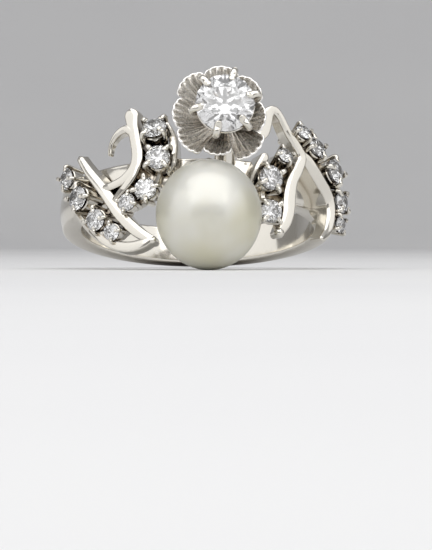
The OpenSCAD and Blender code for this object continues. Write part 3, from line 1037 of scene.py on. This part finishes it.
@dataclass(frozen=True)
class Bars(Assembly):
    """Bars that follow tables of points round the ring: the straps, galleries and ties."""

    soften: float = 0.13
    dome: float = 0.06
    soft_share: float = 0.7
    arc_steps: int = 5
    end_steps: int = 5
    end_sink: float = 0.35
    blend: float = 0.2
    ball_r: float = 0.55
    ball_sink: float = 0.4
    ball_rings: int = 16
    strap_steps: int = 8
    gallery_w: float = 0.7
    gallery_lift: float = 0.45
    gallery_steps: int = 4

    def foot(self, along: float, lift: float) -> float:
        """Returns the distance from the finger's axis to a bar's underside.

        Args:
            along: Distance along the finger.
            lift: How far the underside rises beside the band.

        Returns:
            The distance in millimetres.
        """
        s = self.sizes
        t = max(0.0, min(1.0, (abs(along) - s.band_w / 2) / (self.blend * s.crown_half)))
        return s.strap_foot + lift * t * t * (3 - 2 * t)

    def section(self, width: float, foot: float, top: float, roll: float) -> list[tuple[float, float]]:
        """Returns the outline of a bar with softened edges and a slightly domed top.

        Args:
            width: The bar's width.
            foot: Distance from the finger's axis to its underside.
            top: Distance from the finger's axis to its top.
            roll: Lean of the top about its middle in degrees.

        Returns:
            Steps sideways and distances from the finger's axis.
        """
        half = width / 2
        sine, cosine = sin(radians(roll)), cos(radians(roll))
        soft = min(self.soften, half * self.soft_share)
        under = soft / 2
        outline = []
        corners = (
            (half - under, foot + under, under, 270),
            (half - soft, top - soft, soft, 0),
            (soft - half, top - soft, soft, 90),
            (under - half, foot + under, under, 180),
        )
        for x, y, r, first in corners:
            arc = quarter((x, y), (r, r), first, self.arc_steps)
            if first == 0:
                arc.append((0.0, top + self.dome))
            if first in (0, 90):
                arc = [
                    (u * cosine - (v - top) * sine, top + u * sine + (v - top) * cosine) for u, v in arc
                ]
            outline += arc
        return outline

    def bar(self, rows: Rows, top: float, lift: float, steps: int) -> Skin:
        """Returns one bar with rounded ends.

        Args:
            rows: Turn, place along the finger, width share, roll and open share of each point.
            top: Distance from the finger's axis to the bar's top.
            lift: How far its underside rises beside the band.
            steps: Rings made for each stretch of the table.

        Returns:
            The bar, leaned with the ring.
        """
        s = self.sizes
        path = smooth_rows([(*row, 0, 0)[:5] for row in rows], steps)
        round_mm = pi / 180 * s.strap_top
        rings = []
        last = len(path) - 1
        for i, (turn, along, share, roll, opened) in enumerate(path):
            hung = top - (1 - opened) * (top - s.strap_foot)
            a = path[max(i - 1, 0)]
            b = path[min(i + 1, last)]
            step = Vector(((b[0] - a[0]) * round_mm, (b[1] - a[1]) * s.crown_half)).normalized()
            width = share * s.strap_w
            ends = [0.0] if 0 < i < last else [k / self.end_steps for k in range(self.end_steps)]
            if i == 0:
                ends.reverse()
            for e in ends:
                sign = -1 if i == 0 else 1
                push = sign * width / 2 * sin(pi / 2 * e)
                thin = cos(pi / 2 * e)
                here_turn = turn + push * step.x / round_mm
                here_along = along * s.crown_half + push * step.y
                foot = max(self.foot(here_along, lift), hung)
                sink = self.end_sink * self.soften * (1 - thin)
                outline = self.section(width * thin, foot, top - sink, roll)
                place = turned(here_turn, "Z") @ moved(0, 0, here_along)
                rings.append([place @ Vector((-step.y * u, -v, step.x * u)) for u, v in outline])
        return Skin().loft(rings).put(self.places.at_rest())

    def ball(self) -> Skin:
        """Returns the ball at the end of the right arch."""
        s = self.sizes
        turn, along = STRAPS["right_arch"][-1][:2]
        r = self.ball_r * s.strap_w
        # A tenth of a step is left out at each pole, so the ball closes with a small face.
        angles = [pi * (k + 0.1) / (self.ball_rings + 0.2) for k in range(self.ball_rings + 1)]
        profile = [(r * sin(a), -r * cos(a)) for a in angles]
        sink = self.ball_sink * s.strap_w
        place = self.places.on_ring(turn, along * s.crown_half, s.strap_top - sink)
        return lathe(profile, 24, closed=False).put(place)

    def build(self) -> list[Object]:
        """Builds the straps and the galleries and ties them to the frame."""
        s = self.sizes
        straps = Skin()
        for rows in STRAPS.values():
            straps.join(self.bar(rows, s.strap_top, s.strap_undercut, self.strap_steps))
        straps.join(self.ball())
        low = Skin()
        lift = self.gallery_lift * s.strap_undercut
        chains = [[SIDE_STONES[i][:2] for i in stones] for stones in GALLERIES]
        for points in chains + list(TIES):
            rows = [(turn, along, self.gallery_w) for turn, along in points]
            low.join(self.bar(rows, s.gallery_top, lift, self.gallery_steps))
        skins = {"straps": straps, "galleries": low}
        return [fasten(make_object(name, skin, WHITE_GOLD)) for name, skin in skins.items()]


@dataclass(frozen=True)
class Band(Assembly):
    """The plain band: domed outside, eased edges, bright inside."""

    ease: float = 0.18
    outer_ease: float = 0.8
    dome_steps: int = 24
    arc_steps: int = 6
    steps: int = 288

    def profile(self) -> list[tuple[float, float]]:
        """Returns the band's section as distances from the axis and heights."""
        s = self.sizes
        half = s.band_w / 2
        centre = s.band_r - s.band_dome
        outline = []
        for k in range(self.dome_steps + 1):
            z = (half - self.ease) * (2 * k / self.dome_steps - 1)
            outline.append((centre + sqrt(s.band_dome ** 2 - z ** 2), z))
        outer = self.ease * self.outer_ease
        corners = ((0, outline[-1][0] - outer, outer), (90, s.bore_r + self.ease, self.ease))
        for first, x, r in corners:
            outline += quarter((x, half - self.ease), (r, self.ease), first, self.arc_steps)[1:]
        outline.extend((x, -z) for x, z in reversed(outline[self.dome_steps + 1:]))
        return outline

    def build(self) -> list[Object]:
        """Builds the band and ties it to the frame."""
        skin = lathe(self.profile(), self.steps, closed=True).put(self.places.at_rest())
        return [fasten(make_object("band", skin, WHITE_GOLD))]


@dataclass(frozen=True)
class Flower(Assembly):
    """The ruffled flower cup round the centre diamond."""

    rim_r: float = 3.55
    foot_r: float = 1.0
    wall: float = 0.28
    thinning: float = 0.45
    rim_round: float = 0.02
    rim_steps: int = 5
    # Powers that curve the cup's side outwards and upwards.
    spread: float = 0.85
    climb: float = 1.3
    inner_climb: float = 0.6
    notch: float = 0.4
    petal_round: float = 0.5
    flute: float = 0.12
    flutes: int = 5
    flute_slant: float = 0.7
    # Share of the flutes that is gone at the rim, and the power of its growth.
    rim_calm: float = 0.6
    rim_calm_power: int = 6
    first: float = 42.0
    crease: float = 0.22
    reach: tuple[float, ...] = (1.0, 1.02, 1.03, 0.95, 0.98, 0.86, 1.08, 0.94)
    shift: tuple[float, float] = (-0.11, -0.12)
    columns: int = 480
    rows: int = 22

    def point(self, a: float, t: float, inset: float) -> Vector:
        """Returns a point of the flower.

        Args:
            a: Angle from the middle of the first petal in degrees.
            t: Share of the way from foot to rim.
            inset: Distance inwards through the wall.

        Returns:
            The point, with the flower's foot at the origin.
        """
        petals = len(self.reach)
        index = floor(a / 360 * petals + 0.5) % petals
        wave = abs(cos(radians(a * petals / 2))) ** self.petal_round
        edge = self.rim_r * self.reach[index] - self.notch * (1 - wave)
        fold = 2 * abs(cos(radians(a * petals * self.flutes / 2))) - 1
        calm = 1 - self.rim_calm * t ** self.rim_calm_power
        ruffle = self.flute_slant * self.flute * fold * min(1, 2 * t) * calm
        r = self.foot_r + (edge - self.foot_r) * t ** self.spread + ruffle - inset
        rise = self.sizes.flower_h * t ** self.climb + self.inner_climb * inset
        rise -= ruffle + self.crease * (1 - wave) * t
        lean = Vector((*self.shift, 0)) * self.rim_r * t
        return lean + polar(r, radians(a + self.first), rise)

    def skin(self) -> Skin:
        """Returns the closed cup with a rounded rim."""
        angles = [360 * k / self.columns for k in range(self.columns)]
        levels = [j / self.rows for j in range(self.rows + 1)]
        rings = [[self.point(a, t, 0) for a in angles] for t in levels]
        rim_wall = self.wall * (1 - self.thinning)
        for k in range(1, self.rim_steps):
            bend = pi * k / self.rim_steps
            inset = rim_wall * (1 - cos(bend)) / 2
            over = self.rim_round * sin(bend)
            rings.append([self.point(a, 1 + over, inset) for a in angles])
        for t in reversed(levels):
            inset = self.wall * (1 - self.thinning * t ** 2)
            rings.append([self.point(a, t, inset) for a in angles])
        return Skin().loft(rings)

    def build(self) -> list[Object]:
        """Builds the flower and ties it to the frame."""
        skin = self.skin().put(self.places.at_centre(self.sizes.flower_foot))
        return [fasten(make_object("flower", skin, SATIN_GOLD_PAINTED_LIGHTER))]


@dataclass(frozen=True)
class CentreSetting(Assembly):
    """The stem, collet and claws of the centre diamond."""

    stem_d: float = 1.7
    stem_waist: float = 0.18
    stem_sink: float = 0.2
    stem_rings: int = 12
    stem_sides: int = 40
    claw_w: float = 0.55
    claw_foot_r: float = 0.7
    claw_foot_gap: float = 0.1
    claw_reach: float = 0.34
    claw_wobble: float = 1.0
    first: float = 14.0
    seat_wall: float = 0.26
    seat_depth: float = 0.3

    def stem(self) -> Skin:
        """Returns the stem from the band to the flower's foot."""
        s = self.sizes
        foot_turn = degrees(asin(s.centre_across / s.strap_foot))
        low = self.places.on_ring(foot_turn, s.band_w / 4, s.strap_foot)
        high = self.places.at_centre(s.flower_foot + self.stem_sink)
        rings = []
        for k in range(self.stem_rings + 1):
            t = k / self.stem_rings
            r = self.stem_d / 2 * (1 - self.stem_waist * sin(pi * t))
            rims = [polar(r, a, 0) for a in round_angles(self.stem_sides)]
            rings.append([(low @ rim).lerp(high @ rim, t) for rim in rims])
        return Skin().loft(rings)

    def build(self) -> list[Object]:
        """Builds the setting and ties it to the frame."""
        s = self.sizes
        girdle = self.places.at_centre(s.centre_out)
        seat = Collet(s, s.centre_d, self.seat_wall, self.seat_depth * s.centre_d, 72).skin()
        skin = self.stem().join(seat.put(girdle))
        body = make_object("centre_collet_and_stem", skin, WHITE_GOLD)
        depth = s.centre_out - s.flower_foot - self.claw_foot_gap
        claw = Claw(s, s.centre_d, self.claw_w, depth, self.claw_foot_r, self.claw_reach, 16).skin()
        count = Grip.SIX_CLAW.value
        places = [(girdle @ turned(self.first + 360 * k / count, "Z"), 1.0) for k in range(count)]
        claws = CopiesOnPoints().run("centre_claws", claw, places, WHITE_GOLD, self.claw_wobble)
        return [fasten(body), fasten(claws)]


@dataclass(frozen=True)
class PearlCup(Assembly):
    """The fluted cup, its post and its bracket under the pearl."""

    cup_d: float = 5.2
    wall: float = 0.35
    gap: float = 0.05
    flute: float = 0.1
    flutes: int = 20
    flute_steps: int = 10
    levels: int = 16
    rim_steps: int = 4
    rim_round: float = 0.04
    post_d: float = 0.8
    post_depth: float = 3.0
    bracket_r: float = 0.25
    bracket_h: float = 2.5

    @property
    def inner(self) -> float:
        """Radius of the inside of the cup."""
        return self.sizes.pearl_w / 2 + self.gap

    def ring(self, t: float, r: float, wave: float) -> list[Vector]:
        """Returns one ring of the cup.

        Args:
            t: Share of the way from the cup's middle to its rim.
            r: Distance from the pearl's centre.
            wave: How far the flutes stand out at the rim.

        Returns:
            The ring's points.
        """
        lift = t * asin(self.cup_d / 2 / (self.inner + self.wall))
        points = []
        for a in round_angles(self.flutes * self.flute_steps):
            out = r + wave * t * (1 + cos(a * self.flutes)) / 2
            points.append(polar(out * sin(lift), -a, out * cos(lift)))
        return points

    def cup(self) -> Skin:
        """Returns the fluted cup round the pearl's centre, before the pearl's stretch."""
        levels = [max(k / self.levels, 0.01) for k in range(self.levels + 1)]
        rings = [self.ring(t, self.inner + self.wall, self.flute) for t in levels]
        for k in range(1, self.rim_steps):
            bend = pi * k / self.rim_steps
            out = (1 + cos(bend)) / 2
            over = 1 + self.rim_round * sin(bend)
            rings.append(self.ring(over, self.inner + self.wall * out, self.flute * out))
        rings += [self.ring(t, self.inner, 0) for t in reversed(levels)]
        return Skin().loft(rings)

    def build(self) -> list[Object]:
        """Builds the cup and ties it to the frame."""
        rod = self.post_d / 2
        low = self.inner - self.post_depth
        top = self.inner + self.wall
        post = lathe([
            (POLE_R, low), (0.7 * rod, low), (rod, low + 0.1), (rod, top), (POLE_R, top),
        ], 32, closed=False)
        foot = self.bracket_r * self.cup_d
        back = self.inner + self.wall / 2
        end = back + self.bracket_h * self.wall
        bracket = lathe([
            (POLE_R, back), (foot, back), (foot, back + 0.12), (0.8 * foot, back + 0.4),
            (0.7 * foot, end - 0.1), (0.62 * foot, end), (POLE_R, end),
        ], 40, closed=False)
        skin = self.cup().put(self.places.at_pearl(oval=True))
        skin.join(post.join(bracket).put(self.places.at_pearl(oval=False)))
        return [fasten(make_object("pearl_cup", skin, WHITE_GOLD))]


@dataclass(frozen=True)
class Pearl(Assembly):
    """The pearl, slightly taller along the finger, with the blind hole for its post."""

    hole_d: float = 0.9
    hole_depth: float = 3.05
    cup_gap: float = 0.05
    tip_r: float = 0.004
    steps: int = 160
    rows: int = 90
    sharp: float = 60.0

    def build(self) -> list[Object]:
        """Builds the pearl and ties it to the frame."""
        r = self.sizes.pearl_w / 2
        hole = self.hole_d / 2
        start = asin(hole / r)
        bottom = r + self.cup_gap - self.hole_depth
        profile = [(POLE_R, bottom), (hole, bottom)]
        for k in range(self.rows + 1):
            a = start + (pi - start) * k / self.rows
            profile.append((max(r * sin(a), self.tip_r), r * cos(a)))
        skin = lathe(profile, self.steps, closed=False).put(self.places.at_pearl(oval=True))
        return [fasten(make_object("pearl_body", skin, NACRE, self.sharp), Slot.PEARL, ["pearl"])]


@dataclass(frozen=True)
class Diamonds(Assembly):
    """The diamonds, whose facets are kept as they are cut."""

    def build(self) -> list[Object]:
        """Gives every diamond its finish."""
        stones = [o for name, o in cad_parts.items() if "diamond" in name]
        for stone in stones:
            stone.data.materials.clear()
            stone.data.materials.append(DIAMOND.material())
            LOG.info("%s: %d faces", stone.name, len(stone.data.polygons))
        return stones


@dataclass(frozen=True)
class Sweep:
    """The pale floor that sweeps up into the backdrop."""

    floor_z: float
    half: float = 1.4
    front: float = -1.2
    bend_start: float = 0.5
    bend_r: float = 0.45
    height: float = 1.6
    steps: int = 24

    def build(self) -> None:
        """Builds the floor and backdrop in metres."""
        line = [(self.front, 0.0), (self.bend_start, 0.0)]
        bend = quarter((self.bend_start, self.bend_r), (self.bend_r, self.bend_r), 270, self.steps)
        line += bend[1:]
        line.append((self.bend_start + self.bend_r, self.height))
        points = [(x, y, self.floor_z + z) for y, z in line for x in (-self.half, self.half)]
        faces = [(2 * k, 2 * k + 1, 2 * k + 3, 2 * k + 2) for k in range(len(line) - 1)]
        mesh = bpy.data.meshes.new("sweep")
        mesh.from_pydata(points, [], faces)
        mesh.shade_smooth()
        mesh.materials.append(SWEEP.material())
        board = new_object("sweep", mesh)


@dataclass(frozen=True)
class SoftBox:
    """One soft light panel that faces the ring."""

    name: str
    round_deg: float
    up_deg: float
    size: tuple[float, float]
    watts: float
    distance: float = 0.5

    def build(self) -> None:
        """Puts the light in the scene, turned from the camera's side and raised from the floor."""
        light = bpy.data.lights.new(self.name, "AREA")
        light.shape = "RECTANGLE"
        light.size, light.size_y = self.size
        light.energy = self.watts
        lamp = new_object(self.name, light)
        way = turned(self.round_deg, "Z") @ turned(-self.up_deg, "X") @ Vector((0, -1, 0))
        lamp.location = way * self.distance
        lamp.rotation_euler = (-way).to_track_quat("-Z", "Y").to_euler()


@dataclass(frozen=True)
class Studio:
    """Floor, soft light, surroundings and camera."""

    low: Vector
    eye_height: float = 2.5 * MM
    distance: float = 346 * MM
    lens: float = 307.7
    sensor: float = 36.0
    near: float = 5 * MM
    aim: tuple[float, float] = (1.36 * MM, -4.49 * MM)
    room: tuple[tuple[float, str], ...] = ((0.0, "#7C7A76"), (1.0, "#D8D8DA"))
    room_strength: float = 0.8
    boxes: tuple[SoftBox, ...] = (
        SoftBox("overhead_box", 0, 58, (0.8, 0.7), 2.5),
        SoftBox("left_box", -63, 18, (0.52, 0.46), 0.58),
        SoftBox("right_box", 63, 18, (0.52, 0.46), 0.58),
    )

    def surroundings(self) -> None:
        """Lays a soft grey room, light above and dim at eye level."""
        world = bpy.data.worlds.new("soft room")
        world.use_nodes = True
        tree = world.node_tree
        tree.nodes.clear()
        way = add(tree, "ShaderNodeTexCoord").outputs["Generated"]
        height = add(tree, "ShaderNodeSeparateXYZ", {}, {0: way}).outputs["Z"]
        level = add(tree, "ShaderNodeMapRange", {"From Min": -0.2, "From Max": 1.0}, {"Value": height})
        colour = ramp(tree, level.outputs["Result"], self.room)
        glow = add(tree, "ShaderNodeBackground", {"Strength": self.room_strength}, {"Color": colour})
        add(tree, "ShaderNodeOutputWorld", {}, {"Surface": glow.outputs["Background"]})
        bpy.context.scene.world = world
        bpy.context.scene.view_settings.view_transform = "Standard"

    def camera(self) -> None:
        """Puts the camera at the photograph's viewing angle, just above the floor."""
        lens = bpy.data.cameras.new("camera")
        lens.lens = self.lens
        lens.sensor_width = self.sensor
        lens.clip_start = self.near
        eye = new_object("camera", lens)
        eye.location = (0.0, -self.distance, self.low.z + self.eye_height)
        target = Vector((self.aim[0], 0.0, self.aim[1]))
        eye.rotation_euler = (target - eye.location).to_track_quat("-Z", "Y").to_euler()
        bpy.context.scene.camera = eye

    def build(self) -> None:
        """Builds the whole studio."""
        Sweep(self.low.z).build()
        for box in self.boxes:
            box.build()
        self.surroundings()
        self.camera()


def main() -> None:
    """Builds the ring and its studio in order and reports each piece."""
    logging.basicConfig(level=logging.INFO, format="%(name)s %(message)s")
    sizes = RingSizes()
    places = RingPlaces(sizes)
    for kind in (Band, Bars, SideSettings, Flower, CentreSetting, PearlCup, Pearl, Diamonds):
        kind(sizes, places).build()
    Studio(CAD_BOX[0]).build()


if __name__ == "__main__":
    main()
